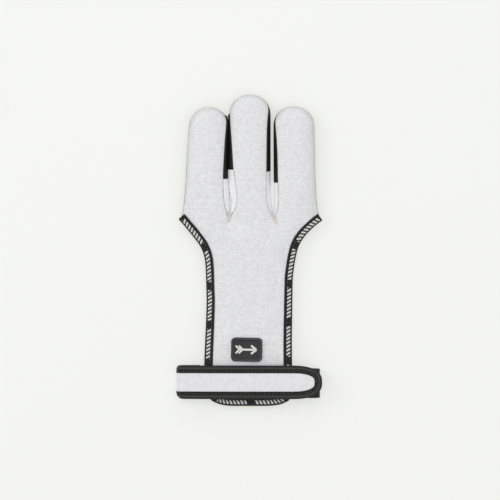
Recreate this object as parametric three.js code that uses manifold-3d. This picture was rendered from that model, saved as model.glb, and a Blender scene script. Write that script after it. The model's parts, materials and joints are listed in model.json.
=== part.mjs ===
// Three-finger archery glove, lying palm down with its wrist strap closed.
// Millimetres. +Z is up, +Y points to the fingertips, and the origin is the bottom centre of its box.
// Each panel is an open shell: a sheet of quads with an outer face, an inner face and a rim along its edges.

import * as THREE from "three";
import { mergeVertices } from "three/addons/utils/BufferGeometryUtils.js";
import Module from "manifold-3d";

// Materials as they are cut
const clearance = 0.3; // gap left wherever two pieces are sewn or rest together
const knit = 1.2; // stretch knit of the back
const leather = 1.2; // smooth leather of the finger fronts and sides
const tape = 0.75; // one layer of the folded binding tape

// Fingers and hand
const middleLength = 87.1; // from the line of the crotches to the tip
const indexLength = 79.8;
const ringLength = 80.2;
const middleWidth = 29.2;
const outerWidth = 28.6; // index and ring finger
const fingerHeight = 14.6;
const fingerGap = 0.45; // between index and middle finger
const openGap = 1.6; // between middle and ring finger
const seamShow = 4.4; // widest strip of side wall that shows from above
const handLength = 130.1; // from the line of the crotches to the wrist edge
const waistWidth = 60.2; // across the narrow back of the hand, over the binding
const hemDip = 9; // how far the palm hem hangs below its corners
const bindingWidth = 5.6;

// Wrist strap, the elastic band that it closes on, and the pad between them
const strapLength = 102;
const strapWidth = 23.4;
const strapCore = 1.8;
const strapBindingWidth = 5.3;
const strapAbove = 16.8; // from the wrist edge to the strap's middle line
const strapTip = 21; // length of its oval end
const riseFrom = 46; // left of the strap's middle, where it starts to climb onto the band
const riseLength = 36;
const strapTail = 17; // how much of it lies under the palm, past the left fold
const bandWidth = 20.4;
const bandThickness = 1.6;
const bandStart = 4; // left of the strap's middle, where the band is sewn to the hand
const bandTail = 44; // left of the strap's middle, where it ends under the palm
const bandSetBack = 1.3; // how far the band's fold stays behind the strap's tip
const bandDrop = 0.9; // the band runs this much nearer to the wrist edge
const padLength = 34;
const padWidth = 11.6;
const padCorner = 1;
const padThickness = 0.8;
const padX = 18; // right of the strap's middle

// Badge on the back of the hand
const badgeWidth = 21.7;
const badgeHeight = 16.7;
const badgeCorner = 2.9;
const badgeThickness = 1.1;
const badgeRim = 1.8;
const badgeRise = 0.5;
const badgeAbove = 39.4; // from the wrist edge to the badge's middle
const badgeAside = 1.5; // left of the strap's middle
const badgeTurn = -1.2; // degrees

const crotchY = (handLength - middleLength) / 2;
const wristY = crotchY - handLength;
const slotSlack = 1.25 * clearance; // on facets, so that the clearance is kept between their corners
const tapeStack = knit + 2 * clearance + 2 * tape;

// Side lines of the fingers, by height above the crotches as a share of the middle finger,
// in shares of the middle finger's width from the strap's middle line.
const sideLines = [
  { up: 0, index: -1.62, close: -0.486, open: 0.6, ring: 1.71 },
  { up: 0.085, index: -1.565, close: -0.43, open: 0.575, ring: 1.63 },
  { up: 0.15, index: -1.55, close: -0.44, open: 0.567, ring: 1.612 },
  { up: 0.24, index: -1.535, close: -0.468, open: 0.56, ring: 1.6 },
  { up: 0.34, index: -1.52, close: -0.505, open: 0.557, ring: 1.585 },
  { up: 0.55, index: -1.5, close: -0.49, open: 0.555, ring: 1.575 },
  { up: 0.78, index: -1.465, close: -0.477, open: 0.555, ring: 1.56 },
  { up: 1, index: -1.44, close: -0.477, open: 0.555, ring: 1.55 },
];
// Visible side wall beside each seam of the back, in shares of seamShow, from crotch to fingertip.
const wallShows = [
  { up: 0, index: 0.14, left: 0.14, right: 0.14, ring: 0.14, outer: 0.03 },
  { up: 0.12, index: 0.98, left: 1, right: 0.76, ring: 0.7, outer: 0.03 },
  { up: 0.25, index: 0.9, left: 1.16, right: 0.8, ring: 0.72, outer: 0.03 },
  { up: 0.4, index: 0.66, left: 0.84, right: 0.73, ring: 0.7, outer: 0.03 },
  { up: 0.55, index: 0.6, left: 0.58, right: 0.7, ring: 0.66, outer: 0.03 },
  { up: 0.7, index: 0.52, left: 0.3, right: 0.66, ring: 0.52, outer: 0.03 },
  { up: 0.78, index: 0.45, left: 0.15, right: 0.6, ring: 0.42, outer: 0.03 },
  { up: 0.86, index: 0.28, left: 0.06, right: 0.4, ring: 0.25, outer: 0.03 },
  { up: 0.93, index: 0.05, left: 0.03, right: 0.05, ring: 0.05, outer: 0.03 },
  { up: 1, index: 0.03, left: 0.03, right: 0.03, ring: 0.03, outer: 0.03 },
];
// Heights along a finger in shares of fingerHeight: widest point, top, and how far the lower seam is
// turned under the side, in degrees. boxy goes from a round section to a square one at the crotch.
const heights = [
  { up: 0, equator: 0.42, top: 0.78, under: 6, boxy: 1 },
  { up: 0.12, equator: 0.41, top: 0.86, under: 40, boxy: 0.5 },
  { up: 0.3, equator: 0.41, top: 0.95, under: 48, boxy: 0.1 },
  { up: 0.6, equator: 0.42, top: 0.99, under: 48, boxy: 0 },
  { up: 1, equator: 0.42, top: 1, under: 48, boxy: 0 },
];
// Back of the hand from the crotches (down 0) to the wrist edge (down 1): half widths in shares of half
// the waist, crown and edge heights of its outer face in shares of fingerHeight.
const handRows = [
  { down: 0, left: 1.6, right: 1.7, crown: 0.78, edge: 0.45 },
  { down: 0.05, left: 1.43, right: 1.44, crown: 0.77, edge: 0.49 },
  { down: 0.1, left: 1.25, right: 1.243, crown: 0.75, edge: 0.48 },
  { down: 0.15, left: 1.093, right: 1.136, crown: 0.73, edge: 0.46 },
  { down: 0.21, left: 1.017, right: 1.083, crown: 0.7, edge: 0.43 },
  { down: 0.3, left: 0.993, right: 1.023, crown: 0.67, edge: 0.4 },
  { down: 0.45, left: 0.98, right: 1.007, crown: 0.62, edge: 0.39 },
  { down: 0.6, left: 1.003, right: 1, crown: 0.6, edge: 0.42 },
  { down: 0.74, left: 1.03, right: 1, crown: 0.6, edge: 0.48 },
  { down: 0.86, left: 1.03, right: 1.005, crown: 0.59, edge: 0.505 },
  { down: 0.925, left: 0.99, right: 1, crown: 0.57, edge: 0.5 },
  { down: 0.96, left: 0.9, right: 0.965, crown: 0.56, edge: 0.5 },
];

const flatBase = 2.4; // how flat a finger's outer side lies where it meets the binding (0.92 is round)

// Mesh steps
const fingerColumns = 7;
const capSteps = 5;
const tubeSteps = 9;
const handSteps = 16;
const hemSteps = 3;
const frontColumns = 8;
const wallColumns = 4;

const clamp = (t) => Math.min(1, Math.max(0, t));
const mix = (a, b, t) => a + (b - a) * t;
const smooth = (t) => t * t * (3 - 2 * t);
const range = (count) => Array.from({ length: count }, (_, i) => i);
const vector = (x, y, z) => new THREE.Vector3(x, y, z);
const radians = THREE.MathUtils.degToRad;

// Reads a column of a table on a smooth curve through its rows; `along` names the position column.
function read(rows, along, column, at) {
  const last = rows.length - 1;
  let i = 0;
  while (i < last - 1 && at > rows[i + 1][along]) i += 1;
  const slope = (k) => {
    const a = rows[Math.max(0, k - 1)];
    const b = rows[Math.min(last, k + 1)];
    return (b[column] - a[column]) / (b[along] - a[along]);
  };
  const step = rows[i + 1][along] - rows[i][along];
  const t = clamp((at - rows[i][along]) / step);
  const a = rows[i][column];
  const b = rows[i + 1][column];
  const bend = (1 - t) * (slope(i) * step - (b - a)) - t * (slope(i + 1) * step - (b - a));
  return mix(a, b, t) + t * (1 - t) * bend;
}

// A sheet collects points with an outer and an inner place, and quads that run counter-clockwise outside.
function newSheet() {
  return { outer: [], inner: [], quads: [] };
}

function addPoint(sheet, outer, inner) {
  sheet.outer.push(outer);
  sheet.inner.push(inner);
  return sheet.outer.length - 1;
}

function addStrip(sheet, rowA, rowB) {
  for (let c = 0; c < rowA.length - 1; c += 1) {
    sheet.quads.push([rowA[c], rowB[c], rowB[c + 1], rowA[c + 1]]);
  }
}

// The edges that only one quad has, each in that quad's direction.
function freeEdges(sheet) {
  const edges = new Map();
  for (const [a, b, c, d] of sheet.quads) {
    for (const [from, to] of [[a, b], [b, c], [c, d], [d, a]]) {
      if (edges.has(`${to}_${from}`)) edges.delete(`${to}_${from}`);
      else edges.set(`${from}_${to}`, [from, to]);
    }
  }
  return [...edges.values()];
}

function shellGeometry(sheet) {
  const count = sheet.outer.length;
  const points = [...sheet.outer, ...sheet.inner];
  const faces = [];
  for (const [a, b, c, d] of sheet.quads) {
    faces.push([a, b, c], [a, c, d]);
    faces.push([a + count, c + count, b + count], [a + count, d + count, c + count]);
  }
  for (const [from, to] of freeEdges(sheet)) {
    faces.push([to, from, from + count], [to, from + count, to + count]);
  }
  return solidGeometry(points, faces);
}

function solidGeometry(points, faces) {
  const geometry = new THREE.BufferGeometry();
  geometry.setAttribute("position", new THREE.Float32BufferAttribute(points.flatMap((p) => p.toArray()), 3));
  geometry.setIndex(faces.flat());
  geometry.computeVertexNormals();
  return geometry;
}

// Fingers: tubes whose angle runs from the left side (0) over the top (90) to the right side (180) and under.
const fingers = {
  index: { length: indexLength, width: outerWidth, sides: ["index", "close"], walls: ["outer", "index"],
    gaps: [0, fingerGap / 2], crotch: [0, 1] },
  middle: { length: middleLength, width: middleWidth, sides: ["close", "open"], walls: ["left", "right"],
    gaps: [fingerGap / 2, openGap / 2], crotch: [1, 1] },
  ring: { length: ringLength, width: outerWidth, sides: ["open", "ring"], walls: ["ring", "outer"],
    gaps: [openGap / 2, 0], crotch: [1, 0] },
};
const capShare = 0.46; // length of the rounded tip in shares of the finger's width

function tube(finger, up) {
  const reach = (up * finger.length) / middleLength;
  const left = read(sideLines, "up", finger.sides[0], reach) * middleWidth + finger.gaps[0];
  const right = read(sideLines, "up", finger.sides[1], reach) * middleWidth - finger.gaps[1];
  const fromTip = (1 - up) * finger.length;
  const cap = capShare * finger.width;
  const shrink = fromTip < cap ? Math.sqrt(1 - (1 - fromTip / cap) ** 2) : 1;
  return {
    axis: (left + right) / 2,
    half: ((right - left) / 2) * shrink,
    shrink,
    equator: read(heights, "up", "equator", up) * fingerHeight,
    top: read(heights, "up", "top", up) * fingerHeight,
    boxy: read(heights, "up", "boxy", up),
  };
}

function tubePower(section, finger, side) {
  return mix(0.92, 0.5, section.boxy * finger.crotch[side]);
}

function tubePoint(finger, up, angle, inset) {
  const section = tube(finger, up);
  const cos = Math.cos(radians(angle));
  const sin = Math.sin(radians(angle));
  const power = tubePower(section, finger, cos < 0 ? 1 : 0);
  const reach = section.half - inset * section.shrink;
  const x = section.axis - Math.sign(cos) * Math.abs(cos) ** power * reach;
  const y = crotchY + up * (finger.length - inset);
  const flat = 1 - finger.crotch[cos < 0 ? 1 : 0];
  const rise = Math.abs(sin) ** mix(power, flatBase, section.boxy * flat) * section.shrink;
  const above = section.equator + (section.top - section.equator - inset) * rise;
  const below = section.equator - (section.equator * 1.15 - inset) * rise;
  return vector(x, y, sin > 0 ? above : Math.max(inset, below));
}

// Angle of the back's seam on one side (0 left, 1 right), from the strip of wall that shows beside it.
function seamAngle(finger, up, side) {
  const section = tube(finger, up);
  const show = Math.min(read(wallShows, "up", finger.walls[side], up) * seamShow, section.half * 0.55);
  const power = tubePower(section, finger, side);
  const angle = THREE.MathUtils.radToDeg(Math.acos(((section.half - show) / section.half) ** (1 / power)));
  return side === 0 ? angle : 180 - angle;
}

function lowerAngle(finger, up, side) {
  const under = read(heights, "up", "under", up);
  return side === 0 ? 360 - under : 180 + under;
}

// Degrees that leave the clearance between two pieces that meet at this angle.
function gapAngle(finger, up, angle) {
  const a = tubePoint(finger, up, angle - 2, leather);
  const b = tubePoint(finger, up, angle + 2, leather);
  return Math.min(24, (1.6 * clearance * 4) / a.distanceTo(b));
}

// Heights up a finger at which its rings of points stand, from the tip down to just above the crotch.
function ringsOf(finger) {
  const cap = (capShare * finger.width) / finger.length;
  const tip = range(capSteps).map((i) => 1 - cap * (1 - Math.cos(radians(12 + (78 * i) / capSteps))));
  const body = range(tubeSteps).map((i) => (1 - cap) * (1 - i / tubeSteps));
  return [...tip, ...body];
}

function tubeRow(sheet, finger, up, from, to, columns) {
  return range(columns + 1).map((c) => {
    const angle = mix(from, to, c / columns);
    return addPoint(sheet, tubePoint(finger, up, angle, 0), tubePoint(finger, up, angle, sheet.wall));
  });
}

// Closes the blunt end of a fingertip: the points of the first ring drop to the height of the seam.
function tipRow(sheet, finger, up, from, to, columns) {
  const row = tubeRow(sheet, finger, up, from, to, columns);
  for (const points of [sheet.outer, sheet.inner]) {
    const heightA = points[row[0]].z;
    const heightB = points[row[columns]].z;
    row.forEach((id, c) => {
      points[id].z = mix(heightA, heightB, c / columns);
    });
  }
  return row;
}

// Rows of one finger, from the tip to the last ring above the crotch; limits gives its two angles.
function fingerRows(sheet, finger, columns, limits) {
  const ups = ringsOf(finger);
  const rows = ups.map((up) => tubeRow(sheet, finger, up, ...limits(up), columns));
  rows.unshift(tipRow(sheet, finger, ups[0], ...limits(ups[0]), columns));
  range(rows.length - 1).forEach((r) => addStrip(sheet, rows[r], rows[r + 1]));
  return rows;
}

// Where three fingers join, the end points of neighbouring rows become one point between them.
function joinRows(sheet, rows) {
  const joined = [...rows[0]];
  for (const row of rows.slice(1)) {
    const shared = joined[joined.length - 1];
    for (const points of [sheet.outer, sheet.inner]) {
      points[shared] = points[shared].clone().lerp(points[row[0]], 0.5);
    }
    row[0] = shared;
    joined.push(...row.slice(1));
  }
  return joined;
}

const tapeInset = tape + clearance; // from the fold of a binding to the edge that it holds

// Back of the hand: across runs from -1 at the left edge to 1 at the right edge.
function handWidth(side, down) {
  return read(handRows, "down", side, down * handRows[handRows.length - 1].down) * (waistWidth / 2) - tapeInset;
}

function handHeight(across, down) {
  const crown = read(handRows, "down", "crown", down) * fingerHeight;
  const edge = read(handRows, "down", "edge", down) * fingerHeight;
  return mix(crown, edge, Math.abs(across) ** 2.2);
}

function handPoint(across, down) {
  const left = -handWidth("left", down);
  const right = handWidth("right", down);
  const middle = crotchY - down * (handLength - tapeInset);
  const ends = crotchY - down * handLength * handRows[handRows.length - 1].down;
  const y = mix(middle, ends, Math.abs(across) ** 5);
  return vector(mix(left, right, (across + 1) / 2), y, handHeight(across, down));
}

const backPanel = { ...newSheet(), wall: knit };
const backLimits = (finger) => (up) => [seamAngle(finger, up, 0), seamAngle(finger, up, 1)];
const backStarts = Object.values(fingers).map((finger) => {
  const rows = fingerRows(backPanel, finger, fingerColumns, backLimits(finger));
  const start = tubeRow(backPanel, finger, 0, ...backLimits(finger)(0), fingerColumns);
  return { last: rows[rows.length - 1], start };
});
const backTop = joinRows(backPanel, backStarts.map((entry) => entry.start));
backStarts.forEach((entry) => addStrip(backPanel, entry.last, entry.start));
const knuckleFade = 0.24; // share of the hand over which the knuckle humps run out
const sideFade = 0.05; // the same beside the binding

const handGrid = [backTop];
range(handSteps).forEach((r) => {
  const down = ((r + 1) / handSteps) ** 1.15;
  const first = backPanel.outer[backTop[0]];
  const last = backPanel.outer[backTop[backTop.length - 1]];
  const row = backTop.map((id, c) => {
    const start = backPanel.outer[id];
    const spread = (2 * (start.x - first.x)) / (last.x - first.x) - 1;
    const even = (2 * c) / (backTop.length - 1) - 1;
    const fade = smooth(clamp(down / mix(knuckleFade, sideFade, spread ** 2)));
    const place = handPoint(mix(spread, even, fade), down);
    place.z = mix(start.z, place.z, fade);
    const depth = backPanel.inner[id].clone().sub(start).lerp(vector(0, 0, -knit), fade);
    return addPoint(backPanel, place, place.clone().add(depth));
  });
  addStrip(backPanel, handGrid[handGrid.length - 1], row);
  handGrid.push(row);
});

// Palm side: the finger fronts, run from the right finger to the left one, and the short palm to its hem.
const hemFloor = tapeStack / 2 - leather / 2;
const hemEnds = 0.8; // height of the palm at its two corners
const hemBare = 3; // columns at each end of the palm's hem that its binding leaves to the hand's binding
const palmFront = { ...newSheet(), wall: leather };
const frontLimits = (finger) => (up) => range(2).map((i) => {
  const side = 1 - i;
  const turn = side === 1 ? 1 : -1;
  const seam = finger.crotch[side] ? lowerAngle(finger, up, side) : seamAngle(finger, up, side);
  return seam + turn * gapAngle(finger, up, seam) + (side === 0 && !finger.crotch[side] ? 360 : 0);
});
const frontStarts = Object.values(fingers).reverse().map((finger) => {
  const rows = fingerRows(palmFront, finger, frontColumns, frontLimits(finger));
  const start = tubeRow(palmFront, finger, 0, ...frontLimits(finger)(0), frontColumns);
  return { last: rows[rows.length - 1], start };
});
const palmTop = joinRows(palmFront, frontStarts.map((entry) => entry.start));
frontStarts.forEach((entry) => addStrip(palmFront, entry.last, entry.start));

const palmGrid = [palmTop];
range(hemSteps).forEach((r) => {
  const down = (r + 1) / hemSteps;
  const first = palmFront.outer[palmTop[0]].x;
  const last = palmFront.outer[palmTop[palmTop.length - 1]].x;
  const row = palmTop.map((id) => {
    const start = palmFront.outer[id];
    const spread = Math.min(1, Math.abs((2 * (start.x - first)) / (last - first) - 1));
    const place = start.clone();
    place.y -= down * (hemEnds + hemDip * (1 - spread ** 2));
    const side = smooth(clamp((spread - 0.8) / 0.2));
    place.z = mix(start.z, mix(hemFloor, start.z, side), smooth(down));
    return addPoint(palmFront, place, place.clone().add(palmFront.inner[id]).sub(start));
  });
  addStrip(palmFront, palmGrid[palmGrid.length - 1], row);
  palmGrid.push(row);
});

// Side walls between the fingers, and the elastic gussets that carry on below them round each crotch.
const wallEnds = [
  { name: "index_side_wall", finger: fingers.index, side: 1, end: 0.358 },
  { name: "middle_left_wall", finger: fingers.middle, side: 0, end: 0.401 },
  { name: "middle_right_wall", finger: fingers.middle, side: 1, end: 0.388 },
  { name: "ring_side_wall", finger: fingers.ring, side: 0, end: 0.324 },
];

// The wall's two angles, top first, so that its rows run from the back's seam down to the front's seam.
function wallLimits(finger, side, up) {
  const seam = seamAngle(finger, up, side) + (side === 0 ? 360 : 0);
  const gap = gapAngle(finger, up, seam);
  return [seam + (side === 0 ? -gap : gap), lowerAngle(finger, up, side)];
}

function wallSheet({ finger, side, end }) {
  const sheet = { ...newSheet(), wall: leather };
  const ups = [...ringsOf(finger).filter((up) => up > end + 0.01), end];
  const rows = ups.map((up) => tubeRow(sheet, finger, up, ...wallLimits(finger, side, up), wallColumns));
  if (side === 0) rows.forEach((row) => row.reverse());
  range(rows.length - 1).forEach((r) => addStrip(sheet, rows[r], rows[r + 1]));
  return sheet;
}

function gussetSheet(wallA, wallB, backShared, palmShared) {
  const sheet = { ...newSheet(), wall: leather };
  const arm = ({ finger, side, end }) => {
    const start = end - (1.2 * clearance) / finger.length;
    const ups = [start, ...ringsOf(finger).filter((up) => up < start - 0.02)];
    return ups.map((up) => tubeRow(sheet, finger, up, ...wallLimits(finger, side, up), wallColumns));
  };
  const top = backPanel.inner[backShared];
  const bottom = palmFront.inner[palmShared];
  const turn = range(wallColumns + 1).map((c) => {
    const z = mix(top.z - 2 * clearance, bottom.z + 2 * clearance, c / wallColumns);
    const y = crotchY + leather + clearance;
    return addPoint(sheet, vector(top.x, y, z), vector(top.x, y - leather, z));
  });
  const rows = [...arm(wallA), turn, ...arm(wallB).reverse()];
  range(rows.length - 1).forEach((r) => addStrip(sheet, rows[r], rows[r + 1]));
  return sheet;
}

// Binding tape: a strip swept along an edge, then slotted by the panels that it folds over.
function edgeStations(edge) {
  const last = edge.length - 1;
  return edge.map(({ point, inside, outward }, i) => {
    const before = edge[Math.max(0, i - 1)].point;
    const after = edge[Math.min(last, i + 1)].point;
    const along = after.clone().sub(before).normalize();
    const inward = inside.clone().sub(point);
    inward.addScaledVector(along, -inward.dot(along)).normalize();
    const normal = inward.clone().cross(along).normalize();
    if (normal.dot(outward) < 0) normal.negate();
    return { point, inward, normal };
  });
}

const wasm = await Module();
wasm.setup();

function toManifold(geometry) {
  const bare = geometry.clone();
  bare.deleteAttribute("normal");
  const merged = mergeVertices(bare, 1e-4);
  const solid = (turned) => {
    const index = [...merged.index.array];
    if (turned) range(index.length / 3).forEach((i) => index.splice(3 * i, 3, index[3 * i], index[3 * i + 2], index[3 * i + 1]));
    return new wasm.Manifold(new wasm.Mesh({
      numProp: 3,
      vertProperties: new Float32Array(merged.attributes.position.array),
      triVerts: new Uint32Array(index),
    }));
  };
  const straight = solid(false);
  return straight.volume() < 0 ? solid(true) : straight;
}

function fromManifold(solid) {
  const mesh = solid.getMesh();
  const geometry = new THREE.BufferGeometry();
  geometry.setAttribute("position", new THREE.Float32BufferAttribute(mesh.vertProperties, 3));
  geometry.setIndex([...mesh.triVerts]);
  geometry.computeVertexNormals();
  return geometry;
}

// Tape swept through its stations as one solid strip.
function sweepTape(stations, width, stack) {
  const half = stack / 2;
  const section = [
    [width - tapeInset, half],
    [tape - tapeInset, half],
    [-tapeInset, half * 0.4],
    [-tapeInset, -half * 0.4],
    [tape - tapeInset, -half],
    [width - tapeInset, -half],
  ];
  const size = section.length;
  const points = stations.flatMap(({ point, inward, normal }) => section.map(([reach, lift]) => (
    point.clone().addScaledVector(inward, reach).addScaledVector(normal, lift))));
  const faces = [];
  range(stations.length - 1).forEach((k) => range(size).forEach((i) => {
    const j = (i + 1) % size;
    const a = k * size;
    faces.push([a + i, a + size + j, a + size + i], [a + i, a + j, a + size + j]);
  }));
  const end = (stations.length - 1) * size;
  range(size - 2).forEach((i) => faces.push([0, i + 2, i + 1], [end, end + i + 1, end + i + 2]));
  return solidGeometry(points, faces);
}

// The slot that a panel needs in its binding: the panel itself, thicker and wider by the clearance.
function slotGeometry(sheet) {
  const slot = { ...sheet, outer: sheet.outer.map((p) => p.clone()), inner: sheet.inner.map((p) => p.clone()) };
  for (const side of ["outer", "inner"]) {
    const points = sheet[side];
    const normals = points.map(() => vector(0, 0, 0));
    for (const [a, b, c, d] of sheet.quads) {
      const face = points[c].clone().sub(points[a]).cross(points[d].clone().sub(points[b]));
      [a, b, c, d].forEach((id) => normals[id].add(face));
    }
    const widths = points.map(() => vector(0, 0, 0));
    for (const [from, to] of freeEdges(sheet)) {
      const away = points[to].clone().sub(points[from]).cross(normals[from]).normalize();
      widths[from].add(away);
      widths[to].add(away);
    }
    const lift = side === "outer" ? slotSlack : -slotSlack;
    slot[side].forEach((point, id) => {
      point.addScaledVector(normals[id].normalize(), lift);
      point.addScaledVector(widths[id].normalize(), slotSlack);
    });
  }
  return shellGeometry(slot);
}

function bindingGeometry(edge, sheets, width, stack) {
  const block = toManifold(sweepTape(edgeStations(edge), width, stack));
  const slots = sheets.map((sheet) => toManifold(slotGeometry(sheet)));
  const slotted = slots.reduce((solid, slot) => solid.subtract(slot), block.trimByPlane([0, 0, 1], 0));
  const bodies = slotted.decompose(); // the largest one is the tape, the rest are slivers
  return fromManifold(bodies.sort((a, b) => b.volume() - a.volume())[0]);
}

function edgeEntry(sheet, id, inside) {
  const point = sheet.outer[id].clone().lerp(sheet.inner[id], 0.5);
  const outward = sheet.outer[id].clone().sub(sheet.inner[id]);
  return { sheet, id, point, outward, inside };
}

const lastRow = handGrid.length - 1;
const lastColumn = backTop.length - 1;
const handMiddle = (r, c) => edgeEntry(backPanel, handGrid[r][c]).point;
const handSide = (c, step) => range(lastRow + 1).map((r) => {
  const row = r === lastRow ? r - 2 : r;
  return edgeEntry(backPanel, handGrid[r][c], handMiddle(row, c + step));
});
const wristRow = range(lastColumn - 1).map((i) => {
  const c = lastColumn - 1 - i;
  return edgeEntry(backPanel, handGrid[lastRow][c], handMiddle(lastRow - 2, c));
});
const hemRow = palmTop.map((top, c) => edgeEntry(
  palmFront, palmGrid[hemSteps][c], palmFront.outer[top].clone().lerp(palmFront.inner[top], 0.5).add(vector(0, 3, 0))));
const handEdge = [...handSide(0, 2), ...wristRow.reverse(), ...handSide(lastColumn, -2).reverse()];
const cornerReach = 1.7; // how far the tape runs on past the panel's two corners
for (const [end, next] of [[handEdge.length - 1, handEdge.length - 2], [0, 1]]) {
  const onward = handEdge[end].point.clone().sub(handEdge[next].point).setLength(cornerReach);
  const corner = { ...handEdge[end] };
  corner.point = corner.point.clone().add(onward);
  corner.inside = corner.inside.clone().add(onward);
  if (end === 0) handEdge.unshift(corner);
  else handEdge.push(corner);
}
const hemEdge = hemRow.slice(hemBare, -hemBare);

const pieces = [];
const addPiece = (name, geometry, colour, roughness) => pieces.push({ name, geometry, colour, roughness });
const white = 0xdcdcde;
const black = 0x1d1d1c;

addPiece("back_panel", shellGeometry(backPanel), white, 0.9);
addPiece("palm_front", shellGeometry(palmFront), black, 0.55);
wallEnds.forEach((wall) => addPiece(wall.name, shellGeometry(wallSheet(wall)), black, 0.55));
addPiece("left_gusset", shellGeometry(gussetSheet(
  wallEnds[0], wallEnds[1], backTop[fingerColumns], palmTop[2 * frontColumns])), 0xe6e6e8, 0.85);
addPiece("right_gusset", shellGeometry(gussetSheet(
  wallEnds[2], wallEnds[3], backTop[2 * fingerColumns], palmTop[frontColumns])), 0xe6e6e8, 0.85);
addPiece("hand_binding", bindingGeometry(
  handEdge, [backPanel, palmFront], bindingWidth, tapeStack), black, 0.8);
addPiece("hem_binding", bindingGeometry(hemEdge, [palmFront], bindingWidth, tapeStack), black, 0.8);

// Heights of the strap's layers: band below and above the hand, pad, strap.
const bandLow = bandThickness / 2;
const bandHigh = 0.6 * fingerHeight + 2 * clearance + bandThickness / 2;
const padLow = bandHigh + bandThickness / 2 + clearance;
const strapStack = strapCore + 2 * clearance + 2 * tape;
const strapHigh = padLow + padThickness + clearance + strapCore / 2;
const strapLeft = strapHigh - 2.1; // where no band lies beneath it
const tailHeight = bandThickness + clearance + strapStack / 2;
const strapY = wristY + strapAbove;
const bandY = strapY - bandDrop;

// Sheet along a line in the plane of X and Z, across from front to back by the half width at each place.
function ribbonSheet(line, halfWidth, columns, thickness, middleY) {
  const sheet = newSheet();
  const rows = line.map((place, i) => {
    const before = line[Math.max(0, i - 1)];
    const after = line[Math.min(line.length - 1, i + 1)];
    const along = vector(after.x - before.x, 0, after.z - before.z).normalize();
    const normal = vector(-along.z, 0, along.x).multiplyScalar(thickness / 2);
    return range(columns + 1).map((c) => {
      const y = middleY + mix(1, -1, c / columns) * halfWidth(place);
      const middle = vector(place.x, y, place.z);
      return addPoint(sheet, middle.clone().add(normal), middle.clone().sub(normal));
    });
  });
  range(rows.length - 1).forEach((r) => addStrip(sheet, rows[r + 1], rows[r]));
  return { sheet, rows };
}

const foldArc = (x, low, high, side, steps) => range(steps + 1).map((i) => {
  const angle = radians(-90 + (180 * i) / steps);
  const radius = (high - low) / 2;
  return { x: x + side * radius * Math.cos(angle), z: (low + high) / 2 + radius * Math.sin(angle) };
});

// White strap: tail under the palm, fold at the left, then over the hand to its oval tip.
const strapEnd = strapLength / 2 - tapeInset;
const foldX = -strapLength / 2 + strapStack / 2 + (strapLeft - tailHeight) / 2;
const topX = range(17).map((i) => {
  const start = foldX + 3;
  const turn = strapEnd - strapTip;
  return i < 8 ? mix(start, turn, i / 8) : turn + strapTip * Math.sin(radians((86 * (i - 8)) / 8));
});
const strapRise = (x) => mix(strapLeft, strapHigh, smooth(clamp((x + riseFrom) / riseLength)));
const strapLine = [
  { x: -strapLength / 2 + strapTail, z: tailHeight },
  { x: foldX + 4, z: tailHeight },
  ...foldArc(foldX, tailHeight, strapLeft, -1, 8),
  ...topX.map((x) => ({ x, z: strapRise(x), top: true })),
];
const strapHalf = ({ x, top }) => {
  const beyond = top ? clamp((x - (strapEnd - strapTip)) / strapTip) : 0;
  return (strapWidth / 2 - tapeInset) * (1 - beyond ** 2.6) ** (1 / 2.6);
};
const strap = ribbonSheet(strapLine, strapHalf, 4, strapCore, strapY);
const strapMiddle = (r, c) => edgeEntry(strap.sheet, strap.rows[r][c]).point;
const strapLast = strap.rows.length - 1;
const strapSide = (c) => range(strapLast + 1).map((r) => edgeEntry(
  strap.sheet, strap.rows[r][c], strapMiddle(Math.min(r, strapLast - 3), 2)));
const strapTipRow = range(3).map((c) => edgeEntry(
  strap.sheet, strap.rows[strapLast][c + 1], strapMiddle(strapLast - 3, 2)));
const strapEdge = [...strapSide(0), ...strapTipRow, ...strapSide(4).reverse()];

// Elastic band: sewn on under the strap's middle, round the right side, and back under the palm.
const bandFold = strapLength / 2 - bandSetBack - bandThickness / 2 - (bandHigh - bandLow) / 2;
const bandLine = [
  ...range(9).map((i) => ({ x: mix(-bandTail, bandFold - 2, i / 8), z: bandLow })),
  ...foldArc(bandFold, bandLow, bandHigh, 1, 10),
  ...range(5).map((i) => ({ x: mix(bandFold - 2, -bandStart, i / 4), z: bandHigh })),
];
const band = ribbonSheet(bandLine, () => bandWidth / 2, 2, bandThickness, bandY);

// Flat plate with rounded corners, built from rings; each ring has an inset from the edge and two heights.
function plateGeometry(width, height, corner, rings, place) {
  const outline = (inset) => range(4).flatMap((quarter) => range(5).map((i) => {
    const angle = radians(90 * quarter + (90 * i) / 4);
    const radius = Math.max(0.4, corner - inset);
    const signX = quarter === 0 || quarter === 3 ? 1 : -1;
    const signY = quarter < 2 ? 1 : -1;
    return [
      signX * (width / 2 - inset - radius) + radius * Math.cos(angle),
      signY * (height / 2 - inset - radius) + radius * Math.sin(angle),
    ];
  }));
  const loops = rings.map(({ inset, z }) => outline(inset).map(([x, y]) => place(x, y, z)));
  const count = loops[0].length;
  const points = loops.flat();
  const faces = [];
  range(loops.length - 1).forEach((r) => range(count).forEach((i) => {
    const j = (i + 1) % count;
    faces.push([r * count + i, r * count + j, (r + 1) * count + j]);
    faces.push([r * count + i, (r + 1) * count + j, (r + 1) * count + i]);
  }));
  const cap = (ring, turned) => range(count / 2 - 1).forEach((i) => {
    const quad = [i, i + 1, count - 2 - i, count - 1 - i].map((k) => ring * count + k);
    if (turned) quad.reverse();
    faces.push([quad[0], quad[1], quad[2]], [quad[0], quad[2], quad[3]]);
  });
  cap(loops.length - 1, false);
  cap(0, true);
  return solidGeometry(points, faces);
}

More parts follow.
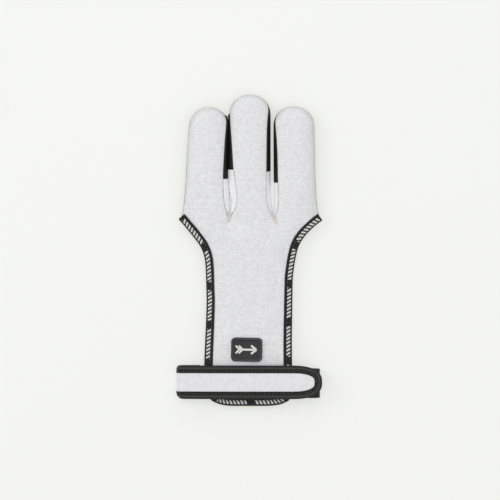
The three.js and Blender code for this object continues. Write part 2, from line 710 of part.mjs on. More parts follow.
const backTopHeight = (x, y) => {
  const down = (crotchY - y) / (handLength - tapeInset);
  const half = (handWidth("left", down) + handWidth("right", down)) / 2;
  return handHeight(clamp(Math.abs(x) / half), down);
};
const badgeCentre = vector(-badgeAside, wristY + badgeAbove, 0);
const badgePlace = (x, y, z) => {
  const spot = vector(x, y, 0).applyAxisAngle(vector(0, 0, 1), radians(badgeTurn)).add(badgeCentre);
  return spot.setZ(backTopHeight(spot.x, spot.y) + 1.5 * clearance + z);
};
const badgeTop = badgeThickness + badgeRise;
const badgeRings = [
  { inset: 5, z: 0 },
  { inset: 2.5, z: 0 },
  { inset: 0, z: 0 },
  { inset: 0, z: badgeTop - 0.3 },
  { inset: 0.3, z: badgeTop },
  { inset: badgeRim - 0.2, z: badgeTop },
  { inset: badgeRim + 0.2, z: badgeThickness },
  { inset: 5, z: badgeThickness },
];
const padPlace = (x, y, z) => vector(padX + x, strapY + y, padLow + z);
const padRings = [{ inset: 0, z: 0 }, { inset: 0, z: padThickness }];

addPiece("badge", plateGeometry(badgeWidth, badgeHeight, badgeCorner, badgeRings, badgePlace), 0x2a2a2b, 0.6);
addPiece("wrist_band", shellGeometry(band.sheet), black, 0.85);
addPiece("closure_pad", plateGeometry(padLength, padWidth, padCorner, padRings, padPlace), black, 0.95);
addPiece("strap_tab", shellGeometry(strap.sheet), white, 0.9);
addPiece("strap_binding", bindingGeometry(
  strapEdge, [strap.sheet], strapBindingWidth, strapStack), black, 0.6);

const glove = new THREE.Group();
glove.name = "archery_glove";
for (const { name, geometry, colour, roughness } of pieces) {
  const mesh = new THREE.Mesh(
    geometry, new THREE.MeshStandardMaterial({ color: colour, roughness, metalness: 0, side: THREE.DoubleSide }));
  mesh.name = name;
  glove.add(mesh);
}

export default glove;
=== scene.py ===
import json
from math import cos, exp, floor, pi, radians, sin, sqrt

import bpy
from mathutils import Matrix, Vector

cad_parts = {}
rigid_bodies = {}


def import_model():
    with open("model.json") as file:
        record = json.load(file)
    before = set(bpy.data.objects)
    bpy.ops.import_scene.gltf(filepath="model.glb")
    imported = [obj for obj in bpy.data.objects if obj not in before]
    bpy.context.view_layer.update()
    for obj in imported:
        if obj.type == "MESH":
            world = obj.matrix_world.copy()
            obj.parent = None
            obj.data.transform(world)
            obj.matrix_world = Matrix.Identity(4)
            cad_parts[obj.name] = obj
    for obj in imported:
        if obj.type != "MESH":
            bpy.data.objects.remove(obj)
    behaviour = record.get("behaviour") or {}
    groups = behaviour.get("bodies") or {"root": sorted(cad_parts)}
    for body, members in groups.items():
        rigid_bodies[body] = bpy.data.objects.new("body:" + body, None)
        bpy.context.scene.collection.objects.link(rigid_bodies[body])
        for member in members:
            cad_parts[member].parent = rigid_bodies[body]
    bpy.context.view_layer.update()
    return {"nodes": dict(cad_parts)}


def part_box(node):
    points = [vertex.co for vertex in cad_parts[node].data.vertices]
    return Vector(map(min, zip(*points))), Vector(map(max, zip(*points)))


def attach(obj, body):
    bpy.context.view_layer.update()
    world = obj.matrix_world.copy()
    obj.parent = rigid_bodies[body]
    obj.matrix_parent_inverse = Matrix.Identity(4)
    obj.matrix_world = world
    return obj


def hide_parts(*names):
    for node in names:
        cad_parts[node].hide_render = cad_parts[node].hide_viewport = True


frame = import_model()

# Camera, floor and light. The glove lies on a pale table and is seen straight from above
# through a long lens, the fingers up, with soft light from all round and a little more
# from the upper left.
PHOTO_MM = 350  # width of the table that the photograph's frame takes in
CAMERA_M = 1.9
SENSOR_MM = 36
AIR_LIGHT = 0.47  # strength of the light from all round

bpy.ops.object.select_all(action="DESELECT")
bpy.ops.object.camera_add(location=(0.0008, 0.0002, CAMERA_M), rotation=(0, 0, 0))
camera = bpy.context.object
camera.name = "photo_camera"
camera.data.lens = SENSOR_MM * CAMERA_M / (PHOTO_MM / 1000)
camera.data.sensor_width = SENSOR_MM
camera.data.clip_start = 0.05
camera.data.clip_end = 20
bpy.context.scene.camera = camera

bpy.ops.mesh.primitive_plane_add(size=6, location=(0, 0, 0))
table = bpy.context.object
table.name = "table_top"

# Soft lights: name, place, the point it faces, width in metres, watts.
SOFT_LIGHTS = [
    ("light_above", (0, 0.1, 2.6), (0, 0, 0), 2.4, 26),
    ("light_left", (-1.5, 0.7, 1.3), (0, 0, 0), 1.0, 7.5),
    ("light_right", (1.5, 0.2, 1.2), (0, 0, 0), 1.0, 2),
    ("light_fingers", (0, 1.6, 0.9), (0, 0.05, 0), 0.9, 1.5),
]
for lamp_name, lamp_place, lamp_aim, lamp_width, lamp_watts in SOFT_LIGHTS:
    bpy.ops.object.light_add(type="AREA", location=lamp_place)
    lamp = bpy.context.object
    lamp.name = lamp_name
    lamp.data.shape = "DISK"
    lamp.data.size = lamp_width
    lamp.data.energy = lamp_watts
    lamp_way = Vector(lamp_aim) - Vector(lamp_place)
    lamp.rotation_euler = lamp_way.to_track_quat("-Z", "Y").to_euler()

bpy.context.scene.view_settings.view_transform = "Standard"
world = bpy.data.worlds.new("studio_air")
bpy.context.scene.world = world
world.use_nodes = True
air = world.node_tree.nodes["Background"]
air.inputs["Color"].default_value = (1, 1, 1, 1)
air.inputs["Strength"].default_value = AIR_LIGHT


def linear(hex_colour):
    channels = [int(hex_colour[i:i + 2], 16) / 255 for i in (1, 3, 5)]
    return [c / 12.92 if c <= 0.04045 else ((c + 0.055) / 1.055) ** 2.4 for c in channels] + [1.0]


def add_node(material, kind, **settings):
    """Adds a node with its settings and links. A setting names a property or, as in_NAME or
    in_NUMBER, an input, whose value is a plain one or the output of another node."""
    tree = material.node_tree
    node = tree.nodes.new(kind)
    for key, value in settings.items():
        if not key.startswith("in_"):
            setattr(node, key, value)
            continue
        label = key[3:].replace("_", " ")
        socket = node.inputs[int(label) if label.isdigit() else label]
        if isinstance(value, bpy.types.NodeSocket):
            tree.links.new(value, socket)
        else:
            socket.default_value = value
    return node


def new_material(name, colour, roughness, **sockets):
    material = bpy.data.materials.new(name)
    material.use_nodes = True
    shader = material.node_tree.nodes["Principled BSDF"]
    shader.inputs["Base Color"].default_value = linear(colour)
    shader.inputs["Roughness"].default_value = roughness
    for key, value in sockets.items():
        shader.inputs[key.replace("_", " ")].default_value = value
    return material, shader


def link_surface(material, shader, colour, bump=None):
    """Links the outputs that give the surface its colour and, through a bump node, its relief."""
    links = material.node_tree.links
    links.new(colour, shader.inputs["Base Color"])
    if bump:
        links.new(bump.outputs["Normal"], shader.inputs["Normal"])


# Opal light table, as for product photographs: a matt pale sheet lit evenly from below, so
# that hardly a shadow falls on it, with a faint unevenness.
table_paint, paint_shader = new_material("opal_light_table", "#a4a5a1", 0.9,
                                         Emission_Color=linear("#f7f8f3"), Emission_Strength=0.59)
paint_place = add_node(table_paint, "ShaderNodeTexCoord")
paint_noise = add_node(table_paint, "ShaderNodeTexNoise", in_Vector=paint_place.outputs["Object"],
                       in_Scale=3.0)
paint_mix = add_node(table_paint, "ShaderNodeMix", in_0=paint_noise.outputs["Fac"], data_type="RGBA",
                     in_6=linear("#a5a6a2"), in_7=linear("#a3a4a0"))
link_surface(table_paint, paint_shader, paint_mix.outputs[2])
table.data.materials.append(table_paint)

# Back of the glove: one piece of white stretch knit that covers the backs of the three
# fingers and the hand. It is sewn to the leather along the fingers, so it draws in a
# little at the seams and bags softly where the fingers meet.
FACET_MERGE = 0.00002
SEAM_ANGLE = radians(50)
SEAM_CREASE = 0.75
# How far the worn tips have drawn in on the outer two fingers: side to side range, metres.
TIP_DRAWN = [(-0.06, -0.0136, 0.0013), (0.0168, 0.06, 0.0012)]
TIP_FROM_Y, TIP_SPAN = 0.06, 0.038
INDEX_DRAWN = 0.0012  # how far the index finger's outer side has drawn in at the tip
INDEX_SIDE_X, INDEX_SIDE_SPAN = -0.028, 0.012
INDEX_FROM_Y, INDEX_SPAN = 0.022, 0.068


def clamped(t):
    return min(1, max(0, t))


def eased(t):
    t = clamped(t)
    return t * t * (3 - 2 * t)


def cloth_from_solid(name, node, levels=2, swell=0.0001):
    """Copies a panel's solid, joins its facets into quads, swells it towards its seams and rounds it."""
    bpy.ops.object.select_all(action="DESELECT")
    source = frame["nodes"][node]
    source.select_set(True)
    bpy.context.view_layer.objects.active = source
    bpy.ops.object.duplicate()
    piece = bpy.context.object
    piece.name = name
    piece.data.materials.clear()
    bpy.ops.object.parent_clear(type="CLEAR_KEEP_TRANSFORM")
    bpy.ops.object.transform_apply(location=True, rotation=True, scale=True)
    bpy.ops.object.mode_set(mode="EDIT")
    bpy.ops.mesh.select_all(action="SELECT")
    bpy.ops.mesh.remove_doubles(threshold=FACET_MERGE)
    bpy.ops.mesh.tris_convert_to_quads(face_threshold=radians(60), shape_threshold=radians(70))
    bpy.ops.transform.shrink_fatten(value=swell, use_even_offset=False)
    bpy.ops.mesh.select_mode(type="EDGE")
    bpy.ops.mesh.select_all(action="DESELECT")
    bpy.ops.mesh.edges_select_sharp(sharpness=SEAM_ANGLE)
    bpy.ops.transform.edge_crease(value=SEAM_CREASE)
    bpy.ops.object.mode_set(mode="OBJECT")
    for vertex in piece.data.vertices:
        drawn = [reach for low, high, reach in TIP_DRAWN if low < vertex.co.x < high]
        vertex.co.y -= (drawn[0] if drawn else 0) * eased((vertex.co.y - TIP_FROM_Y) / TIP_SPAN)
        outside = clamped((INDEX_SIDE_X - vertex.co.x) / INDEX_SIDE_SPAN)
        vertex.co.x += INDEX_DRAWN * outside * clamped((vertex.co.y - INDEX_FROM_Y) / INDEX_SPAN)
        vertex.co.z = max(0, vertex.co.z)
    if levels:
        rounding = piece.modifiers.new("rounding", "SUBSURF")
        rounding.levels = rounding.render_levels = levels
        bpy.ops.object.modifier_apply(modifier=rounding.name)
    bpy.ops.object.shade_smooth()
    return piece


back = cloth_from_solid("knit_back", "back_panel")
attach(back, "root")
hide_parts("back_panel")


def soft_dent(place, centre, along, reach_long, reach_short, depth):
    """How far a point of the cloth sinks in a dent that runs along one direction, in millimetres."""
    dx, dy = place.x * 1000 - centre[0], place.y * 1000 - centre[1]
    c, s = cos(radians(along)), sin(radians(along))
    down_length, over_width = dx * c + dy * s, -dx * s + dy * c
    return depth * exp(-(down_length / reach_long) ** 2 - (over_width / reach_short) ** 2)


# Dents and folds in the back: centre, direction in degrees, half length, half width, depth in mm.
BACK_DENTS = [
    ((-8.5, 17.0), 100, 9, 4.5, 1.3),
    ((23.0, 16.5), 80, 9, 4.5, 1.3),
    ((-14.8, 19.5), 70, 4.5, 1.3, 0.7),
    ((18.8, 19.0), 125, 4.5, 1.3, 0.7),
    ((-10.2, 21.0), 20, 3.5, 1.0, 0.4),
    ((21.5, 21.3), 160, 3.5, 1.0, 0.4),
    ((1.0, 0.0), 90, 22, 5.0, 0.35),
    ((-17.5, -38.5), 73, 6.5, 1.6, 0.55),
    ((17.0, -57.0), 40, 7, 4.0, 0.35),
    ((-19.0, -64.5), 95, 6, 4.0, 0.3),
    ((-22.0, 2.0), 62, 12, 3.0, 0.3),
    ((24.0, 4.0), 118, 12, 3.0, 0.3),
    ((-30.5, 62.0), 20, 9, 5.0, 0.25),
    ((31.5, 55.0), 165, 9, 5.0, 0.25),
    ((2.0, 40.0), 90, 12, 5.0, 0.25),
]
WAVE_MM = 0.12  # height of the shallow wave all over the back
HAND_TOP_Y = 0.02  # below it the whole panel is back of the hand
upper = [vertex for vertex in back.data.vertices if vertex.normal.z > 0.2 or vertex.co.y < HAND_TOP_Y]
for vertex in upper:
    sink = sum(soft_dent(vertex.co, *dent) for dent in BACK_DENTS)
    wave = WAVE_MM * sin(vertex.co.y * 190) * sin(vertex.co.x * 230 + vertex.co.y * 60)
    vertex.co.z -= (sink + wave) * 0.001

# White polyester knit, brushed matt. Courses run across the fingers, 1.55 mm apart as they
# show in the photograph, crossed by finer wales, so the cloth has a faint level striping.
KNIT_COURSE_MM = 1.55
KNIT_WALE_MM = 1.05


def band_scale(spacing_mm):
    """Scale of a wave texture with one band in each spacing, where places are in metres."""
    return 2 * pi / 20 / (spacing_mm / 1000)


knit, knit_shader = new_material("white_stretch_knit", "#f8f8fb", 0.92, Sheen_Weight=0.06,
                                 Sheen_Roughness=0.6, Specular_IOR_Level=0.15)
knit_place = add_node(knit, "ShaderNodeTexCoord").outputs["Object"]
jitter = add_node(knit, "ShaderNodeTexNoise", in_Vector=knit_place, in_Scale=420.0, in_Detail=4.0)
bent_place = add_node(knit, "ShaderNodeMix", data_type="VECTOR", factor_mode="UNIFORM", in_0=0.0016,
                      in_4=knit_place, in_5=jitter.outputs["Color"]).outputs[1]
course = add_node(knit, "ShaderNodeTexWave", bands_direction="Y", in_Vector=bent_place,
                  in_Scale=band_scale(KNIT_COURSE_MM))
wale = add_node(knit, "ShaderNodeTexWave", bands_direction="X", in_Vector=bent_place,
                in_Scale=band_scale(KNIT_WALE_MM))
loops = add_node(knit, "ShaderNodeMath", in_0=course.outputs["Fac"], in_1=wale.outputs["Fac"],
                 operation="MULTIPLY")
cloud = add_node(knit, "ShaderNodeTexNoise", in_Vector=knit_place, in_Scale=420.0, in_Detail=6.0,
                 in_Roughness=0.7)
faint_loops = add_node(knit, "ShaderNodeMath", in_0=loops.outputs[0], operation="MULTIPLY", in_1=0.5)
spread = add_node(knit, "ShaderNodeMapRange", in_0=cloud.outputs["Fac"], in_1=0.3, in_2=0.7,
                  in_3=0.0, in_4=0.75)
tone = add_node(knit, "ShaderNodeMath", in_0=faint_loops.outputs[0], in_1=spread.outputs[0],
                operation="ADD")
tint = add_node(knit, "ShaderNodeMix", in_0=tone.outputs[0], data_type="RGBA",
                in_6=linear("#dbdbde"), in_7=linear("#f8f8fb"))
# Painted shade: where the knit turns down to the seams and faces sideways, its colour is
# greyed by up to half, as the rounded edges fall into shade.
turn = add_node(knit, "ShaderNodeTexCoord").outputs["Normal"]
turn_up = add_node(knit, "ShaderNodeSeparateXYZ", in_0=turn).outputs[2]
painted_rim_shade = add_node(knit, "ShaderNodeMapRange", in_0=turn_up, in_1=0.2, in_2=0.85, in_3=0.5,
                    in_4=0.0).outputs[0]
knit_tint_with_painted_shade = add_node(knit, "ShaderNodeMix", data_type="RGBA", in_0=painted_rim_shade, in_6=tint.outputs[2],
                     in_7=linear("#b4b4b1"))
knit_height = add_node(knit, "ShaderNodeMath", in_0=course.outputs["Fac"], in_1=loops.outputs[0],
                       operation="ADD")
knit_bump = add_node(knit, "ShaderNodeBump", in_Height=knit_height.outputs[0], in_Strength=0.5,
                     in_Distance=0.0002)
link_surface(knit, knit_shader, knit_tint_with_painted_shade.outputs[2], knit_bump)
back.data.materials.append(knit)

# Fronts of the fingers: one piece of smooth black leather, joined under the knuckles and
# cut in a shallow arc at the palm, sewn edge to edge to the knit and the side strips.
fronts = cloth_from_solid("leather_fronts", "palm_front")
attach(fronts, "root")
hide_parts("palm_front")

# Black chrome-tanned leather, split and finished semi-matt: a fine pebble grain of about
# 0.6 mm with shallow creases, a soft broad highlight and greyer tops where it is rubbed.
leather, leather_shader = new_material("black_grain_leather", "#121211", 0.6, Specular_IOR_Level=0.3)
leather_place = add_node(leather, "ShaderNodeTexCoord").outputs["Object"]
pebbles = add_node(leather, "ShaderNodeTexVoronoi", in_Vector=leather_place, in_Scale=1600.0)
creases = add_node(leather, "ShaderNodeTexNoise", in_Vector=leather_place, in_Scale=220.0, in_Detail=6.0)
grain = add_node(leather, "ShaderNodeMath", in_0=pebbles.outputs["Distance"], in_1=creases.outputs["Fac"],
                 operation="ADD")
leather_tint = add_node(leather, "ShaderNodeMix", in_0=creases.outputs["Fac"], data_type="RGBA",
                        in_6=linear("#0d0d0c"), in_7=linear("#181817"))
leather_bump = add_node(leather, "ShaderNodeBump", in_Height=grain.outputs[0], in_Strength=0.4,
                        in_Distance=0.00015)
link_surface(leather, leather_shader, leather_tint.outputs[2], leather_bump)
fronts.data.materials.append(leather)

# Side strips of the fingers: the same leather, four narrow pieces that stand between back
# and front and end square above the crotches, where the elastic takes over.
side_strips = []
for strip_name, strip_node in [
    ("leather_side_index", "index_side_wall"),
    ("leather_side_middle_left", "middle_left_wall"),
    ("leather_side_middle_right", "middle_right_wall"),
    ("leather_side_ring", "ring_side_wall"),
]:
    strip = cloth_from_solid(strip_name, strip_node)
    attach(strip, "root")
    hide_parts(strip_node)
    strip.data.materials.append(leather)
    side_strips.append(strip)

# Crotch gussets: soft white elastic with fine ribs along its length, folded in half in each
# crotch and sewn up both fingers, where it gathers a little.
elastic, elastic_shader = new_material("white_ribbed_elastic", "#f4f4f6", 0.85, Sheen_Weight=0.2,
                                       Specular_IOR_Level=0.2)
elastic_place = add_node(elastic, "ShaderNodeTexCoord").outputs["Object"]
rib = add_node(elastic, "ShaderNodeTexWave", bands_direction="Y", in_Vector=elastic_place,
               in_Scale=band_scale(1.3), in_Distortion=1.2, in_Detail=2.0)
elastic_tint = add_node(elastic, "ShaderNodeMix", in_0=rib.outputs["Fac"], data_type="RGBA",
                        in_6=linear("#ececee"), in_7=linear("#f8f8fa"))
elastic_bump = add_node(elastic, "ShaderNodeBump", in_Height=rib.outputs["Fac"], in_Strength=0.5,
                        in_Distance=0.00008)
link_surface(elastic, elastic_shader, elastic_tint.outputs[2], elastic_bump)
GATHER_DEPTH = 0.00006
gussets = []
for gusset_name, gusset_node in [
    ("elastic_gusset_left", "left_gusset"),
    ("elastic_gusset_right", "right_gusset"),
]:
    gusset = cloth_from_solid(gusset_name, gusset_node, levels=3)
    gathers = [vertex.normal * GATHER_DEPTH * sin(vertex.co.y * 2400 + vertex.co.z * 500)
               for vertex in gusset.data.vertices]
    for vertex, gather in zip(gusset.data.vertices, gathers):
        vertex.co += gather
    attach(gusset, "root")
    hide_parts(gusset_node)
    gusset.data.materials.append(elastic)
    gussets.append(gusset)

# Index and middle finger lie against each other: their strips and the gusset between them
# are moved together until they meet, with an overlap of 0.2 mm that hides the last gap.
PRESS_FROM_Y, PRESS_TO_Y, PRESS_STEP = 0.036, 0.094, 0.002
PRESS_NEAR = 0.0012  # points this near to a level count for it
PRESS_X = -0.0145  # stands in where a level has no points
PRESS_OVERLAP = 0.0002


def facing(piece, way, low_x=-1, high_x=1):
    """Points of a piece that look to the right (1) or the left (-1), between two places across."""
    return [(vertex, abs(vertex.normal.x)) for vertex in piece.data.vertices
            if vertex.normal.x * way > 0.15 and low_x < vertex.co.x < high_x]


gap_left = facing(side_strips[0], 1) + facing(gussets[0], 1, -0.0178, -0.0143)
gap_right = facing(side_strips[1], -1) + facing(gussets[0], -1, -0.0147, -0.0112)
press_rows = []
for k in range(round((PRESS_TO_Y - PRESS_FROM_Y) / PRESS_STEP) + 1):
    level = PRESS_FROM_Y + k * PRESS_STEP
    left_reach = max((v.co.x for v, _ in gap_left if abs(v.co.y - level) < PRESS_NEAR), default=PRESS_X)
    right_reach = min((v.co.x for v, _ in gap_right if abs(v.co.y - level) < PRESS_NEAR), default=PRESS_X)
    press_rows.append(max(0, right_reach - left_reach + PRESS_OVERLAP) / 2)
for points, way in ((gap_left, 1), (gap_right, -1)):
    for vertex, share in points:
        row = (vertex.co.y - PRESS_FROM_Y) / PRESS_STEP
        if 0 <= row < len(press_rows) - 1:
            start = floor(row)
            push = press_rows[start] * (1 - row + start) + press_rows[start + 1] * (row - start)
            vertex.co.x += way * push * share

# Edge of the back: one black woven tape, 6.1 mm wide when folded, laid over the raw edge of
# the knit from one corner down, round the wrist and up to the other, and sewn through with
# one row of stitches. A light pattern of slanted bars is woven into it.
# Fold line on the panel's edge: x, y, z in mm, and how steeply the panel climbs from it.
HAND_EDGE = [
    (-48.2, 22.4, 6.3, 20), (-46.4, 20.4, 6.4, 20), (-43.0, 16.4, 6.5, 19), (-37.9, 10.1, 6.5, 16),
    (-32.9, 3.3, 6.1, 16.5), (-30.1, -3.9, 5.7, 15.6), (-29.1, -11.3, 5.4, 15.1), (-28.8, -18.9, 5.2, 14.8),
    (-28.6, -26.8, 5.1, 13.9), (-28.4, -34.8, 5.1, 12.7), (-28.6, -42.9, 5.2, 11.3), (-28.9, -51.2, 5.5, 9.8),
    (-29.3, -59.7, 5.8, 8.0), (-29.7, -68.2, 6.3, 6.2), (-30.0, -76.9, 6.6, 5.2), (-30.1, -85.6, 6.8, 4.6),
    (-29.6, -94.5, 6.7, 4.5), (-26.4, -102.9, 6.7, 4.2), (-23.5, -105.0, 6.9, 3.2), (-20.9, -106.1, 7.0, 2.5),
    (-15.7, -107.2, 7.3, 1.7), (-10.6, -107.5, 7.4, 1.5), (-5.5, -107.5, 7.5, 1.4), (-0.3, -107.5, 7.6, 1.4),
    (4.8, -107.5, 7.6, 1.3), (10.0, -107.5, 7.5, 1.3), (15.1, -107.4, 7.4, 1.2), (20.3, -106.8, 7.2, 1.5),
    (22.9, -106.1, 7.0, 1.8), (25.4, -105.0, 6.9, 2.4), (28.0, -102.9, 6.7, 4.0), (29.2, -94.5, 6.7, 4.1),
    (29.2, -85.6, 6.8, 4.6), (29.1, -76.9, 6.6, 5.2), (29.0, -68.2, 6.3, 6.2), (29.0, -59.7, 5.8, 7.9),
    (29.1, -51.2, 5.5, 9.8), (29.2, -42.9, 5.2, 11.4), (29.3, -34.8, 5.1, 12.7), (29.4, -26.8, 5.1, 13.9),
    (29.6, -18.9, 5.2, 15.0), (30.5, -11.3, 5.4, 15.5), (31.8, -3.9, 5.7, 15.4), (33.8, 3.3, 6.1, 15.7),
    (37.8, 10.1, 6.5, 15.8), (43.8, 16.5, 6.5, 19), (48.4, 20.2, 6.4, 20), (50.6, 21.8, 6.3, 20),
]
TAPE_GROOVE_MM = 3.05  # the row of stitches, from the panel's edge
TAPE_STEP_MM = 2.0
UV_MM = 100  # millimetres of tape in one unit of its UV map


def smooth_line(rows, step):
    """Rows on a smooth curve through the given rows, about one for each step of millimetres."""
    points = []
    for i in range(len(rows) - 1):
        before, a, b, after = rows[max(0, i - 1)], rows[i], rows[i + 1], rows[min(len(rows) - 1, i + 2)]
        count = max(1, round(sqrt(sum((p - q) ** 2 for p, q in zip(a[:3], b[:3]))) / step))
        for k in range(count):
            t = k / count
            points.append([0.5 * (2 * q + (r - p) * t + (2 * p - 5 * q + 4 * r - w) * t * t
                                  + (3 * q - p - 3 * r + w) * t ** 3)
                           for p, q, r, w in zip(before, a, b, after)])
    return points + [list(rows[-1])]


def edge_frames(line):
    """For each row the place, the way into the panel and the way out of its face."""
    frames = []
    for i, row in enumerate(line):
        before, after = line[max(0, i - 1)], line[min(len(line) - 1, i + 1)]
        along = (Vector(after[:3]) - Vector(before[:3])).normalized()
        level = Vector((-along.y, along.x, 0)).normalized()
        lean = radians(row[3])
        inward = (level * cos(lean) + Vector((0, 0, 1)) * sin(lean)).normalized()
        frames.append((Vector(row[:3]), inward, along.cross(inward).normalized()))
    return frames


def swept(name, frames, section):
    """Bends a flat grid into a strip with the given closed section (reach, lift) along the frames."""
    rows, columns = len(frames), len(section)
    bpy.ops.object.select_all(action="DESELECT")
    bpy.ops.mesh.primitive_grid_add(x_subdivisions=rows - 1, y_subdivisions=columns, size=2,
                                    calc_uvs=True)
    strip = bpy.context.object
    strip.name = name
    along = [0.0]
    for (a, _, _), (b, _, _) in zip(frames, frames[1:]):
        along.append(along[-1] + (b - a).length)
    around = [0.0]
    for a, b in zip(section, section[1:] + section[:1]):
        around.append(around[-1] + sqrt((a[0] - b[0]) ** 2 + (a[1] - b[1]) ** 2))
    spot = {}
    for vertex in strip.data.vertices:
        i = round((vertex.co.x + 1) / 2 * (rows - 1))
        j = round((vertex.co.y + 1) / 2 * columns)
        place, inward, face = frames[i]
        reach, lift = section[j % columns]
        vertex.co = (place + inward * reach + face * lift) / 1000
        spot[vertex.index] = (along[i] / UV_MM, around[j] / UV_MM)
    corners = [spot[loop.vertex_index] for loop in strip.data.loops]
    flat_corners = [value for corner in corners for value in corner]
    strip.data.uv_layers.active.data.foreach_set("uv", flat_corners)
    bpy.ops.object.mode_set(mode="EDIT")
    bpy.ops.mesh.select_all(action="SELECT")
    bpy.ops.mesh.remove_doubles(threshold=0.000001)
    bpy.ops.mesh.select_all(action="DESELECT")
    bpy.ops.mesh.select_mode(type="EDGE")
    bpy.ops.mesh.select_non_manifold(extend=False)
    bpy.ops.mesh.fill_holes(sides=0)
    bpy.ops.mesh.select_all(action="SELECT")
    bpy.ops.mesh.normals_make_consistent(inside=False)
    bpy.ops.object.mode_set(mode="OBJECT")
    bpy.ops.object.shade_smooth_by_angle(angle=radians(50))
    return strip


# Section of the folded tape, reach into the panel and lift from its middle: fold, top leg
# with the stitched groove, inner end, and the inside of the leg.
TAPE_LEG = [
    (-1.05, 0.25), (-0.98, 0.75), (-0.72, 1.2), (-0.3, 1.5), (0.3, 1.64), (1.1, 1.66), (2.0, 1.62),
    (2.55, 1.54), (2.85, 1.36), (3.05, 1.24), (3.25, 1.34), (3.5, 1.46), (4.3, 1.46), (4.85, 1.4),
    (5.04, 1.24), (5.02, 1.05), (4.8, 0.95), (2.6, 0.93), (0.6, 0.92), (-0.1, 0.78), (-0.33, 0.4),
]
tape_section = TAPE_LEG + [(reach, -lift) for reach, lift in reversed(TAPE_LEG)]
hand_frames = edge_frames(smooth_line(HAND_EDGE, TAPE_STEP_MM))
hand_tape = swept("tape_hand", hand_frames, tape_section)
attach(hand_tape, "root")
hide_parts("hand_binding")

# Woven nylon tape: black ribs 0.5 mm apart across it, with light bars floated on the top
# face in groups of eight, 21 mm in every 27 mm. A painted highlight lightens it along the
# fold line, and painted shade darkens it along the stitched groove.
TAPE_RIB_MM = 0.5
TAPE_WEFT_MM = 0.4
BAR_GROUP_MM = 26.9
BAR_GROUP_FILL = 0.79
BAR_START_MM = 2.4  # from the tape's end to its first group
BAR_STEP_MM = 2.6
BAR_FILL = 0.56
BAR_FROM_MM = 2.2  # around the section from the fold
BAR_TO_MM = 4.95


